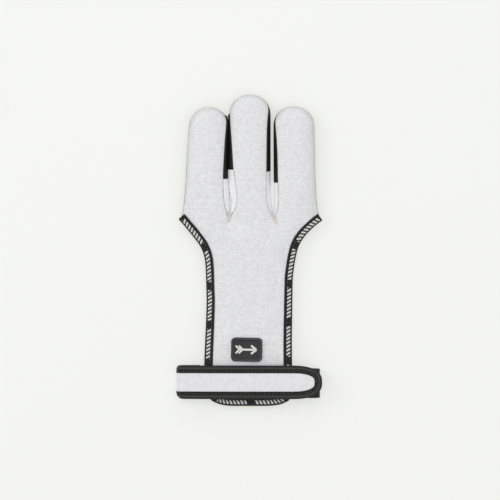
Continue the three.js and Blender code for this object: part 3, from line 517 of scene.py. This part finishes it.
def tape_material(name, marked, groove_mm, groove_painted_shade, worn, crown_mm, crown_highlight):
    tape, shader = new_material(name, "#0d0d0c", 0.55, Sheen_Weight=0.04, Specular_IOR_Level=0.3)
    tape_uv = add_node(tape, "ShaderNodeTexCoord").outputs["UV"]
    split = add_node(tape, "ShaderNodeSeparateXYZ", in_0=tape_uv)
    length, width = split.outputs[0], split.outputs[1]
    rib_turns = add_node(tape, "ShaderNodeMath", operation="MULTIPLY", in_0=length,
                         in_1=2 * pi * UV_MM / TAPE_RIB_MM).outputs[0]
    rib = add_node(tape, "ShaderNodeMath", operation="SINE", in_0=rib_turns).outputs[0]
    weft_turns = add_node(tape, "ShaderNodeMath", operation="MULTIPLY", in_0=width,
                          in_1=2 * pi * UV_MM / TAPE_WEFT_MM).outputs[0]
    weft = add_node(tape, "ShaderNodeMath", operation="SINE", in_0=weft_turns).outputs[0]
    weave = add_node(tape, "ShaderNodeMath", operation="MULTIPLY", in_0=rib, in_1=weft).outputs[0]
    grime = add_node(tape, "ShaderNodeTexNoise", in_Vector=tape_uv, in_Scale=90.0, in_Detail=4.0)
    rubbed = add_node(tape, "ShaderNodeMix", in_0=grime.outputs["Fac"], data_type="RGBA",
                      in_6=linear("#0a0a09"), in_7=linear(worn))
    # Painted highlight: the colour is lightened towards grey in a band along the crown of the fold.
    past_crown = add_node(tape, "ShaderNodeMath", operation="SUBTRACT", in_0=width,
                          in_1=crown_mm / UV_MM).outputs[0]
    off_crown = add_node(tape, "ShaderNodeMath", operation="ABSOLUTE", in_0=past_crown).outputs[0]
    painted_highlight_mask = add_node(tape, "ShaderNodeMapRange", in_0=off_crown, in_1=0.0, in_2=0.011,
                        in_3=crown_highlight, in_4=0.0).outputs[0]
    crown = add_node(tape, "ShaderNodeMix", data_type="RGBA", in_0=painted_highlight_mask, in_6=rubbed.outputs[2],
                     in_7=linear("#5c5c5b"))
    # Painted shade: the colour is darkened towards black in a band along the stitched groove.
    past_groove = add_node(tape, "ShaderNodeMath", operation="SUBTRACT", in_0=width,
                           in_1=groove_mm / UV_MM).outputs[0]
    off_groove = add_node(tape, "ShaderNodeMath", operation="ABSOLUTE", in_0=past_groove).outputs[0]
    painted_groove_shade_mask = add_node(tape, "ShaderNodeMapRange", in_0=off_groove, in_1=0.0025, in_2=0.0115,
                           in_3=groove_painted_shade, in_4=0.0).outputs[0]
    colour = add_node(tape, "ShaderNodeMix", data_type="RGBA", in_0=painted_groove_shade_mask,
                      in_6=crown.outputs[2], in_7=linear("#070707")).outputs[2]
    height = weave
    if marked:
        groups = add_node(tape, "ShaderNodeMath", operation="MULTIPLY_ADD", in_0=length,
                          in_1=UV_MM / BAR_GROUP_MM, in_2=1 - BAR_START_MM / BAR_GROUP_MM).outputs[0]
        group_place = add_node(tape, "ShaderNodeMath", operation="FRACT", in_0=groups).outputs[0]
        in_group = add_node(tape, "ShaderNodeMath", operation="LESS_THAN", in_0=group_place,
                            in_1=BAR_GROUP_FILL).outputs[0]
        slanted = add_node(tape, "ShaderNodeMath", operation="MULTIPLY_ADD", in_0=width, in_1=0.55,
                           in_2=length).outputs[0]
        bars = add_node(tape, "ShaderNodeMath", operation="MULTIPLY", in_0=slanted,
                        in_1=UV_MM / BAR_STEP_MM).outputs[0]
        bar_place = add_node(tape, "ShaderNodeMath", operation="FRACT", in_0=bars).outputs[0]
        in_bar = add_node(tape, "ShaderNodeMath", operation="LESS_THAN", in_0=bar_place,
                          in_1=BAR_FILL).outputs[0]
        above = add_node(tape, "ShaderNodeMath", operation="GREATER_THAN", in_0=width,
                         in_1=BAR_FROM_MM / UV_MM).outputs[0]
        below = add_node(tape, "ShaderNodeMath", operation="LESS_THAN", in_0=width,
                         in_1=BAR_TO_MM / UV_MM).outputs[0]
        barred = add_node(tape, "ShaderNodeMath", operation="MULTIPLY", in_0=in_group, in_1=in_bar).outputs[0]
        middle = add_node(tape, "ShaderNodeMath", operation="MULTIPLY", in_0=above, in_1=below).outputs[0]
        mark = add_node(tape, "ShaderNodeMath", operation="MULTIPLY", in_0=barred, in_1=middle).outputs[0]
        ribbed = add_node(tape, "ShaderNodeMath", operation="MULTIPLY_ADD", in_0=rib, in_1=0.12,
                          in_2=0.86).outputs[0]
        thread = add_node(tape, "ShaderNodeMath", operation="MULTIPLY", in_0=mark, in_1=ribbed).outputs[0]
        colour = add_node(tape, "ShaderNodeMix", data_type="RGBA", in_0=thread, in_6=colour,
                          in_7=linear("#e6e6e4")).outputs[2]
        height = add_node(tape, "ShaderNodeMath", operation="MULTIPLY_ADD", in_0=mark, in_1=0.8,
                          in_2=weave).outputs[0]
    bump = add_node(tape, "ShaderNodeBump", in_Height=height, in_Strength=0.45, in_Distance=0.0001)
    link_surface(tape, shader, colour, bump)
    return tape


woven_tape = tape_material("black_woven_tape", marked=True, groove_mm=5.0, groove_painted_shade=0.3, worn="#1c1c1b",
                           crown_mm=1.6, crown_highlight=0.1)
hand_tape.data.materials.append(woven_tape)

# Stitches of the tape: charcoal thread in the groove, on the top leg and the lower one, nine
# to the inch; each is a small flattened loop of 0.42 mm thread, 2.2 mm long.
STITCH_STEP_MM = 2.8
STITCH_MM = 2.2
HAND_THREAD_MM = 0.42
HAND_STITCH_LIFT_MM = 1.3
FINE_STEP_MM = 0.7  # between the places where a stitch can lie
thread, thread_shader = new_material("charcoal_thread", "#4c4c4b", 0.6, Sheen_Weight=0.1,
                                     Specular_IOR_Level=0.4)
thread_place = add_node(thread, "ShaderNodeTexCoord").outputs["Object"]
thread_twist = add_node(thread, "ShaderNodeTexNoise", in_Vector=thread_place, in_Scale=2600.0,
                        in_Detail=2.0)
thread_tint = add_node(thread, "ShaderNodeMix", in_0=thread_twist.outputs["Fac"], data_type="RGBA",
                       in_6=linear("#3a3a39"), in_7=linear("#6a6a68"))
link_surface(thread, thread_shader, thread_tint.outputs[2])


def joined(pieces, name):
    bpy.ops.object.select_all(action="DESELECT")
    for piece in pieces:
        piece.select_set(True)
    bpy.context.view_layer.objects.active = pieces[0]
    bpy.ops.object.join()
    whole = bpy.context.object
    whole.name = name
    return whole


def stitch_row(name, frames, reach, lift_mm, thread_mm):
    """Models one stitch, copies it along the frames, on both legs of the tape, and joins the row."""
    bpy.ops.object.select_all(action="DESELECT")
    bpy.ops.mesh.primitive_uv_sphere_add(segments=10, ring_count=6, radius=0.5)
    one = bpy.context.object
    one.name = name
    bpy.ops.transform.resize(value=(STITCH_MM / 1000, thread_mm / 1000, thread_mm * 0.7 / 1000))
    bpy.ops.object.transform_apply(location=True, rotation=True, scale=True)
    copies = []
    travelled = 0.0
    for (a, _, _), (place, inward, lift_way) in zip(frames, frames[1:]):
        travelled += (place - a).length
        if travelled < STITCH_STEP_MM:
            continue
        travelled -= STITCH_STEP_MM
        along = (place - a).normalized()
        turn = Matrix((along, lift_way.cross(along), lift_way)).transposed().to_4x4()
        for lift in (lift_mm, -lift_mm):
            spot = (place + inward * reach + lift_way * lift) / 1000
            stitch = bpy.data.objects.new(name, one.data.copy())
            bpy.context.collection.objects.link(stitch)
            stitch.matrix_world = Matrix.Translation(spot) @ turn
            copies.append(stitch)
    bpy.data.objects.remove(one)
    row = joined(copies, name)
    bpy.ops.object.transform_apply(location=True, rotation=True, scale=True)
    bpy.ops.object.shade_smooth()
    return row


fine_frames = edge_frames(smooth_line(HAND_EDGE, FINE_STEP_MM))
hand_stitches = stitch_row("stitches_hand_tape", fine_frames, TAPE_GROOVE_MM, HAND_STITCH_LIFT_MM,
                           HAND_THREAD_MM)
hand_stitches.data.materials.append(thread)
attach(hand_stitches, "root")

# Bartacks: at the foot of each crotch a short row of close white stitches holds the gusset,
# pulls the knit together and leaves it puckered.
TACK_THREAD_MM = 0.7
TACK_TURNS = 11
TACK_STEP_MM = 0.6
TACK_HALF_MM, TACK_TAPER_MM = 1.3, 0.04
TACK_LIFT_MM = 0.32
TACK_OPEN_MM = 11.0  # height of the thread where it crosses the open crotch
white_thread, white_thread_shader = new_material("white_thread", "#ececec", 0.7, Sheen_Weight=0.2,
                                                 Specular_IOR_Level=0.25)
white_thread_place = add_node(white_thread, "ShaderNodeTexCoord").outputs["Object"]
white_twist = add_node(white_thread, "ShaderNodeTexNoise", in_Vector=white_thread_place,
                       in_Scale=1800.0)
white_thread_tint = add_node(white_thread, "ShaderNodeMix", in_0=white_twist.outputs["Fac"],
                             data_type="RGBA", in_6=linear("#c9c5bf"), in_7=linear("#f6f4f1"))
link_surface(white_thread, white_thread_shader, white_thread_tint.outputs[2])
thread_round = [(TACK_THREAD_MM / 2 * cos(pi * k / 4), TACK_THREAD_MM / 2 * sin(pi * k / 4))
                for k in range(8)]
bpy.context.view_layer.update()
# Name, x and y of the upper end in mm, and how far each turn steps sideways.
for tack_name, tack_x, tack_y, tack_lean in [
    ("bartack_left", -12.6, 26.2, -0.22),
    ("bartack_right", 17.4, 24.4, 0.16),
]:
    tack_line = []
    for k in range(TACK_TURNS):
        across = (-1 if k % 2 else 1) * (TACK_HALF_MM - TACK_TAPER_MM * k)
        x, y = tack_x + across + tack_lean * k, tack_y - TACK_STEP_MM * k
        hit, spot, _, _ = back.ray_cast(Vector((x, y, 40)) / 1000, Vector((0, 0, -1)))
        tack_line.append([x, y, (spot.z * 1000 if hit else TACK_OPEN_MM) + TACK_LIFT_MM, 0])
    tack = swept(tack_name, edge_frames(smooth_line(tack_line, TACK_THREAD_MM / 2)), thread_round)
    tack.data.materials.append(white_thread)
    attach(tack, "root")

# Lower edge of the leather: the same tape in a second length, folded over the leather's arc
# under the palm; its two ends are tucked in beside the corners of the first.
HEM_EDGE = [
    (-37.2, 17.4, 1.75, 6), (-31.3, 15.8, 1.75, 6), (-21.7, 13.7, 1.75, 4), (-16.1, 12.8, 1.75, 1),
    (-12.4, 12.5, 1.75, 1), (-7.3, 12.0, 1.75, 4), (1.4, 11.7, 1.75, 4), (10.1, 12.0, 1.75, 4),
    (15.1, 12.5, 1.75, 1), (19.9, 12.9, 1.75, 1), (25.4, 13.8, 1.75, 4), (34.5, 15.9, 1.75, 6),
    (40.2, 17.6, 1.75, 6),
]
hem_frames = edge_frames(smooth_line(HEM_EDGE, TAPE_STEP_MM))
hem_tape = swept("tape_hem", hem_frames, tape_section)
hem_tape.data.materials.append(woven_tape)
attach(hem_tape, "root")
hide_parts("hem_binding")

# Badge: moulded soft rubber, 21.7 by 16.7 mm, with a raised rim that is rubbed greyer, glued
# flat on the back above the wrist. Its field carries a plain raised arrow, moulded in pale
# rubber.
low_badge, high_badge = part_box("badge")
field_height = high_badge[2] - 0.0005
rubber, rubber_shader = new_material("black_moulded_rubber", "#262627", 0.6, Specular_IOR_Level=0.4)
rubber_place = add_node(rubber, "ShaderNodeTexCoord").outputs["Object"]
rubber_speck = add_node(rubber, "ShaderNodeTexNoise", in_Vector=rubber_place, in_Scale=1500.0,
                        in_Detail=3.0)
rubber_dust = add_node(rubber, "ShaderNodeTexNoise", in_Vector=rubber_place, in_Scale=180.0,
                       in_Detail=4.0)
rubber_tint = add_node(rubber, "ShaderNodeMix", in_0=rubber_dust.outputs["Fac"], data_type="RGBA",
                       in_6=linear("#1b1b1c"), in_7=linear("#303031"))
rubber_height = add_node(rubber, "ShaderNodeSeparateXYZ", in_0=rubber_place).outputs[2]
rubbed_rim = add_node(rubber, "ShaderNodeMapRange", in_0=rubber_height, in_1=field_height + 0.0002,
                      in_2=high_badge[2], in_3=0.0, in_4=0.6).outputs[0]
rim_tint = add_node(rubber, "ShaderNodeMix", data_type="RGBA", in_0=rubbed_rim,
                    in_6=rubber_tint.outputs[2], in_7=linear("#4e4e50"))
rubber_bump = add_node(rubber, "ShaderNodeBump", in_Height=rubber_speck.outputs["Fac"], in_Strength=0.4,
                       in_Distance=0.0001)
link_surface(rubber, rubber_shader, rim_tint.outputs[2], rubber_bump)


def round_edges(piece, width_mm, segments, sharp=30):
    bevel = piece.modifiers.new("edge_round", "BEVEL")
    bevel.width = width_mm / 1000
    bevel.segments = segments
    bevel.limit_method = "ANGLE"
    bevel.angle_limit = radians(sharp)
    bpy.ops.object.modifier_apply(modifier=bevel.name)


badge = cloth_from_solid("rubber_badge", "badge", levels=0, swell=0)
round_edges(badge, 0.22, 2, sharp=40)
bpy.ops.object.shade_smooth_by_angle(angle=radians(50))
badge.data.materials.append(rubber)
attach(badge, "root")
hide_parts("badge")

# The arrow on the badge: shaft, two-sided head and two pairs of vanes. Each bar is sunk into
# the field and stands 0.4 mm above it.
BADGE_TURN = -1.2
BAR_HEIGHT = 0.0007
BAR_MIDDLE = 0.00005  # of its height, above the field
badge_middle = (Vector(low_badge) + Vector(high_badge)) / 2
# Bars of the arrow: middle x, y in mm from the badge's middle, length, width, turn in degrees.
ARROW_BARS = [
    (0.2, 0.0, 11.5, 1.5, 0),
    (4.9, 1.45, 4.8, 1.5, -38),
    (4.9, -1.45, 4.8, 1.5, 38),
    (-4.3, 1.5, 3.4, 1.3, -45),
    (-4.3, -1.5, 3.4, 1.3, 45),
    (-6.5, 1.5, 3.4, 1.3, -45),
    (-6.5, -1.5, 3.4, 1.3, 45),
]
pale_rubber, pale_shader = new_material("pale_moulded_rubber", "#dededc", 0.55, Specular_IOR_Level=0.4)
pale_place = add_node(pale_rubber, "ShaderNodeTexCoord").outputs["Object"]
pale_speck = add_node(pale_rubber, "ShaderNodeTexNoise", in_Vector=pale_place, in_Scale=900.0,
                      in_Detail=4.0)
pale_tint = add_node(pale_rubber, "ShaderNodeMix", in_0=pale_speck.outputs["Fac"], data_type="RGBA",
                     in_6=linear("#cfcfcd"), in_7=linear("#ececea"))
link_surface(pale_rubber, pale_shader, pale_tint.outputs[2])
arrow_bars = []
for across_badge, up_badge, bar_length, bar_width, bar_turn in ARROW_BARS:
    place = Vector((across_badge, up_badge, 0)) / 1000
    place.rotate(Matrix.Rotation(radians(BADGE_TURN), 3, "Z"))
    bpy.ops.object.select_all(action="DESELECT")
    bpy.ops.mesh.primitive_cube_add(
        size=1, rotation=(0, 0, radians(BADGE_TURN + bar_turn)),
        location=(badge_middle.x + place.x, badge_middle.y + place.y, field_height + BAR_MIDDLE),
        scale=(bar_length / 1000, bar_width / 1000, BAR_HEIGHT))
    bar = bpy.context.object
    bpy.ops.object.transform_apply(location=True, rotation=True, scale=True)
    round_edges(bar, 0.25, 3)
    arrow_bars.append(bar)
arrow = joined(arrow_bars, "badge_arrow")
bpy.ops.object.shade_smooth_by_angle(angle=radians(50))
arrow.data.materials.append(pale_rubber)
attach(arrow, "root")

# Wrist band: woven black elastic, 20.4 mm wide, sewn under the strap's middle, round the
# right side and back under the palm. Fine ribs run along it, and its right end shows
# beside the strap's tip.
band_elastic, band_shader = new_material("black_ribbed_elastic", "#1b1b1a", 0.8, Sheen_Weight=0.12,
                                         Specular_IOR_Level=0.25)
band_place = add_node(band_elastic, "ShaderNodeTexCoord").outputs["Object"]
band_rib = add_node(band_elastic, "ShaderNodeTexWave", bands_direction="Y", in_Vector=band_place,
                    in_Scale=band_scale(1.4))
band_weft = add_node(band_elastic, "ShaderNodeTexNoise", in_Vector=band_place, in_Scale=900.0,
                     in_Detail=3.0)
band_tint = add_node(band_elastic, "ShaderNodeMix", in_0=band_weft.outputs["Fac"], data_type="RGBA",
                     in_6=linear("#111110"), in_7=linear("#2b2b2a"))
band_height = add_node(band_elastic, "ShaderNodeMath", in_0=band_rib.outputs["Fac"],
                       in_1=band_weft.outputs["Fac"], operation="ADD")
band_bump = add_node(band_elastic, "ShaderNodeBump", in_Height=band_height.outputs[0], in_Strength=0.5,
                     in_Distance=0.0002)
link_surface(band_elastic, band_shader, band_tint.outputs[2], band_bump)

# Layers of the wrist, heights of their middles in mm, as the solids have them.
BAND_HALF, BAND_HALF_THICK = 10.2, 0.8
BAND_RIBS, BAND_RIB_MM = 13, 0.16
BAND_LINE_Y = -92.7
BAND_LOW, BAND_HIGH = 0.8, 10.16
BAND_FOLD_X = 44.22
STRAP_LINE_Y = -91.8
TAIL_HEIGHT, STRAP_LEFT_HEIGHT, STRAP_HIGH = 3.85, 11.16, 13.26
STRAP_FOLD_X = -45.395
STRAP_END_X = 49.95
STRAP_TIP = 21  # length of the oval end


def fold_arc(x, low, high, side, steps):
    """Points of a half round fold between two heights; side is 1 on the right, -1 on the left."""
    radius = (high - low) / 2
    return [(x + side * radius * cos(radians(-90 + 180 * i / steps)),
             (low + high) / 2 + radius * sin(radians(-90 + 180 * i / steps))) for i in range(steps + 1)]


band_line = [(x, BAND_LOW) for x in range(-44, 42, 4)] + fold_arc(BAND_FOLD_X, BAND_LOW, BAND_HIGH, 1, 16)
band_line += [(x, BAND_HIGH) for x in range(40, -5, -4)]


def ribbon_frames(line, middle_y, turn):
    """Frames for a flat ribbon along a line of x and z: reach runs across it, lift out of its
    loop, where turn is 1 for a line that runs to the right under the palm, and -1 to the left."""
    frames = []
    for i, (x, z) in enumerate(line):
        before, after = line[max(0, i - 1)], line[min(len(line) - 1, i + 1)]
        along = Vector((after[0] - before[0], 0, after[1] - before[1])).normalized()
        frames.append((Vector((x, middle_y, z)), Vector((0, 1, 0)), turn * Vector((along.z, 0, -along.x))))
    return frames


def ribbed_section(half_width, half_thick, ribs, depth):
    """Closed section of a woven ribbon whose two faces are crossed by shallow ribs."""
    count = ribs * 4
    face = [(half_width * (2 * k / count - 1) * 0.985, half_thick - depth * (0.5 - 0.5 * cos(2 * pi * k / 4)))
            for k in range(count + 1)]
    return face + [(half_width, 0)] + [(reach, -lift) for reach, lift in reversed(face)] + [(-half_width, 0)]


band = swept("elastic_wrist_band", ribbon_frames(band_line, BAND_LINE_Y, 1),
             ribbed_section(BAND_HALF, BAND_HALF_THICK, BAND_RIBS, BAND_RIB_MM))
band.data.materials.append(band_elastic)
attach(band, "root")
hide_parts("wrist_band")

# Closure: a hook-and-loop pad, 34 by 11.6 mm, sewn on the band beneath the strap. Its top is
# covered with fine hooks and it shows only from the side.
pad = cloth_from_solid("hook_pad", "closure_pad", levels=0, swell=0)
round_edges(pad, 0.1, 2)
hooks, hooks_shader = new_material("black_hook_tape", "#161616", 0.7, Specular_IOR_Level=0.3)
hooks_place = add_node(hooks, "ShaderNodeTexCoord").outputs["Object"]
hook_cells = add_node(hooks, "ShaderNodeTexVoronoi", in_Vector=hooks_place, in_Scale=1300.0,
                      in_Randomness=0.35)
hooks_tint = add_node(hooks, "ShaderNodeMix", in_0=hook_cells.outputs["Distance"], data_type="RGBA",
                      in_6=linear("#2e2e2e"), in_7=linear("#0f0f0f"))
hooks_bump = add_node(hooks, "ShaderNodeBump", in_Height=hook_cells.outputs["Distance"], in_Strength=0.8,
                      in_Distance=0.0003)
link_surface(hooks, hooks_shader, hooks_tint.outputs[2], hooks_bump)
pad.data.materials.append(hooks)
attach(pad, "root")
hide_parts("closure_pad")

# Strap: white ribbed elastic, 23.4 mm wide with its tape, a little padded. Its tail is sewn
# under the palm, it folds round the left side and lies over the hand to an oval tip held by
# the hooks.
STRAP_HALF = 10.65
STRAP_THICK = 1.8
STRAP_CROWN = 0.25
STRAP_RISE_X, STRAP_RISE = -46, 36  # where the strap starts to climb, and over what length
STRAP_OVAL = 2.6  # 2 would be an ellipse, more is squarer
STRAP_TOP_X = STRAP_FOLD_X + 2.2
STRAP_STEPS, STRAP_TIP_STEPS = 34, 22


def strap_height(x):
    return STRAP_LEFT_HEIGHT + (STRAP_HIGH - STRAP_LEFT_HEIGHT) * eased((x - STRAP_RISE_X) / STRAP_RISE)


def strap_half(x, on_top):
    beyond = max(0, (x - (STRAP_END_X - STRAP_TIP)) / STRAP_TIP) if on_top else 0
    return STRAP_HALF * (1 - min(1, beyond) ** STRAP_OVAL) ** (1 / STRAP_OVAL)


strap_line = [(x, TAIL_HEIGHT) for x in (-34, -36, -38, -40, -41.4, -43)]
strap_line += fold_arc(STRAP_FOLD_X, TAIL_HEIGHT, STRAP_LEFT_HEIGHT, -1, 18)
tip_start = STRAP_END_X - STRAP_TIP
strap_tops = [STRAP_TOP_X + (tip_start - STRAP_TOP_X) * k / STRAP_STEPS for k in range(STRAP_STEPS)]
strap_tops += [tip_start + STRAP_TIP * sin(radians(86 * k / STRAP_TIP_STEPS))
               for k in range(STRAP_TIP_STEPS + 1)]
first_top = len(strap_line)
strap_line += [(x, strap_height(x)) for x in strap_tops]
strap_halves = [strap_half(x, i >= first_top) for i, (x, _) in enumerate(strap_line)]
middle_frames = ribbon_frames(strap_line, STRAP_LINE_Y, -1)
strap_frames = [(place, across * (half / STRAP_HALF), lift)
                for (place, across, lift), half in zip(middle_frames, strap_halves)]
strap_face = []
for k in range(17):
    share = -1 + 2 * k / 16
    strap_face.append((STRAP_HALF * share, STRAP_THICK / 2 + STRAP_CROWN * (1 - share ** 4)))
strap_section = strap_face + [(STRAP_HALF, 0), (STRAP_HALF, -STRAP_THICK / 2)]
strap_section += [(STRAP_HALF * (1 - 2 * k / 8), -STRAP_THICK / 2) for k in range(1, 8)]
strap_section += [(-STRAP_HALF, -STRAP_THICK / 2), (-STRAP_HALF, 0)]
strap = swept("elastic_strap", strap_frames, strap_section)
CORNER_BACK_MM = (1.1, 2.3)  # upper and lower corner
CORNER_FROM_MM, CORNER_SPAN_MM = 7.5, 4.2  # across the strap, from its middle
CORNER_FROM_X, CORNER_SPAN_X = -38, 10


def hold_back(piece):
    """At the left fold the stiff corners of the strap stay behind its middle, the lower one more."""
    for vertex in piece.data.vertices:
        over = vertex.co.y * 1000 - STRAP_LINE_Y
        corner = eased((abs(over) - CORNER_FROM_MM) / CORNER_SPAN_MM)
        corner *= eased((CORNER_FROM_X - vertex.co.x * 1000) / CORNER_SPAN_X)
        vertex.co.x += corner * CORNER_BACK_MM[0 if over > 0 else 1] / 1000


hold_back(strap)
STRAP_RIB_MM = 1.15
STRAP_YARN_MM = 0.7
strap_white, strap_shader = new_material("white_ribbed_strap", "#f4f4f6", 0.88, Sheen_Weight=0.2,
                                         Specular_IOR_Level=0.2)
strap_uv = add_node(strap_white, "ShaderNodeTexCoord").outputs["UV"]
strap_split = add_node(strap_white, "ShaderNodeSeparateXYZ", in_0=strap_uv)
strap_noise = add_node(strap_white, "ShaderNodeTexNoise", in_Vector=strap_uv, in_Scale=30.0, in_Detail=6.0,
                       in_Roughness=0.7)
strap_shift = add_node(strap_white, "ShaderNodeMath", operation="MULTIPLY_ADD",
                       in_0=strap_noise.outputs["Fac"], in_1=0.006, in_2=strap_split.outputs[0]).outputs[0]
strap_ribs = add_node(strap_white, "ShaderNodeMath", operation="MULTIPLY", in_0=strap_shift,
                      in_1=2 * pi * UV_MM / STRAP_RIB_MM).outputs[0]
strap_rib = add_node(strap_white, "ShaderNodeMath", operation="SINE", in_0=strap_ribs).outputs[0]
strap_yarns = add_node(strap_white, "ShaderNodeMath", operation="MULTIPLY", in_0=strap_split.outputs[1],
                       in_1=2 * pi * UV_MM / STRAP_YARN_MM).outputs[0]
strap_yarn = add_node(strap_white, "ShaderNodeMath", operation="SINE", in_0=strap_yarns).outputs[0]
strap_weave = add_node(strap_white, "ShaderNodeMath", operation="MULTIPLY_ADD", in_0=strap_yarn,
                       in_1=0.35, in_2=strap_rib).outputs[0]
strap_tone = add_node(strap_white, "ShaderNodeMath", operation="MULTIPLY_ADD", in_0=strap_weave,
                      in_1=0.12, in_2=strap_noise.outputs["Fac"]).outputs[0]
strap_tint = add_node(strap_white, "ShaderNodeMix", in_0=strap_tone, data_type="RGBA",
                      in_6=linear("#d4d4d7"), in_7=linear("#fdfdff"))
strap_bump = add_node(strap_white, "ShaderNodeBump", in_Height=strap_weave, in_Strength=0.4,
                      in_Distance=0.00012)
link_surface(strap_white, strap_shader, strap_tint.outputs[2], strap_bump)
strap.data.materials.append(strap_white)
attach(strap, "root")
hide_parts("strap_tab")

# Strap's edge: the black tape again, without bars, folded over the padded edge so that it
# stands up as a round roll, then drawn down by its row of stitches to a flat lip.
ROLL_LEG = [
    (-1.05, 0.3), (-1.0, 0.85), (-0.75, 1.35), (-0.3, 1.74), (0.35, 1.96), (1.1, 1.98), (1.8, 1.84),
    (2.25, 1.62), (2.5, 1.4), (2.7, 1.34), (2.9, 1.46), (3.3, 1.68), (3.8, 1.7), (4.15, 1.6),
    (4.28, 1.4), (4.15, 1.24), (2.5, 1.2), (0.6, 1.2), (-0.15, 0.98), (-0.38, 0.5),
]
ROLL_STITCH_MM, ROLL_STITCH_LIFT_MM = 2.72, 1.38
ROLL_THREAD_MM = 0.36
roll_section = ROLL_LEG + [(reach, -lift) for reach, lift in reversed(ROLL_LEG)]
strap_edges = list(zip(middle_frames, strap_halves))
edge_points = [(place + across * half, lift) for (place, across, lift), half in strap_edges]
tip_place, _, tip_lift = middle_frames[-1]
edge_points += [(tip_place + Vector((0, strap_halves[-1] * k, 0)), tip_lift) for k in (0.4, -0.4)]
edge_points += [(place - across * half, lift) for (place, across, lift), half in reversed(strap_edges)]
roll_frames = []
for i, (place, lift) in enumerate(edge_points):
    before, after = edge_points[max(0, i - 1)][0], edge_points[min(len(edge_points) - 1, i + 1)][0]
    along = (after - before).normalized()
    roll_frames.append((place, along.cross(lift).normalized(), lift))
roll = swept("tape_strap", roll_frames, roll_section)
hold_back(roll)
# The strap's tape has a strong painted highlight along the top of its roll and deep painted shade in its
# groove.
roll.data.materials.append(tape_material("black_strap_tape", marked=False, groove_mm=4.9, groove_painted_shade=0.9,
                                         worn="#1e1e1d", crown_mm=2.9, crown_highlight=0.42))
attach(roll, "root")
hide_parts("strap_binding")
fine_roll = []
for (place, inward, lift), (next_place, _, _) in zip(roll_frames, roll_frames[1:]):
    count = max(1, round((next_place - place).length / FINE_STEP_MM))
    fine_roll += [(place.lerp(next_place, k / count), inward, lift) for k in range(count)]
roll_stitches = stitch_row("stitches_strap_tape", fine_roll, ROLL_STITCH_MM, ROLL_STITCH_LIFT_MM,
                           ROLL_THREAD_MM)
hold_back(roll_stitches)
roll_stitches.data.materials.append(thread)
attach(roll_stitches, "root")
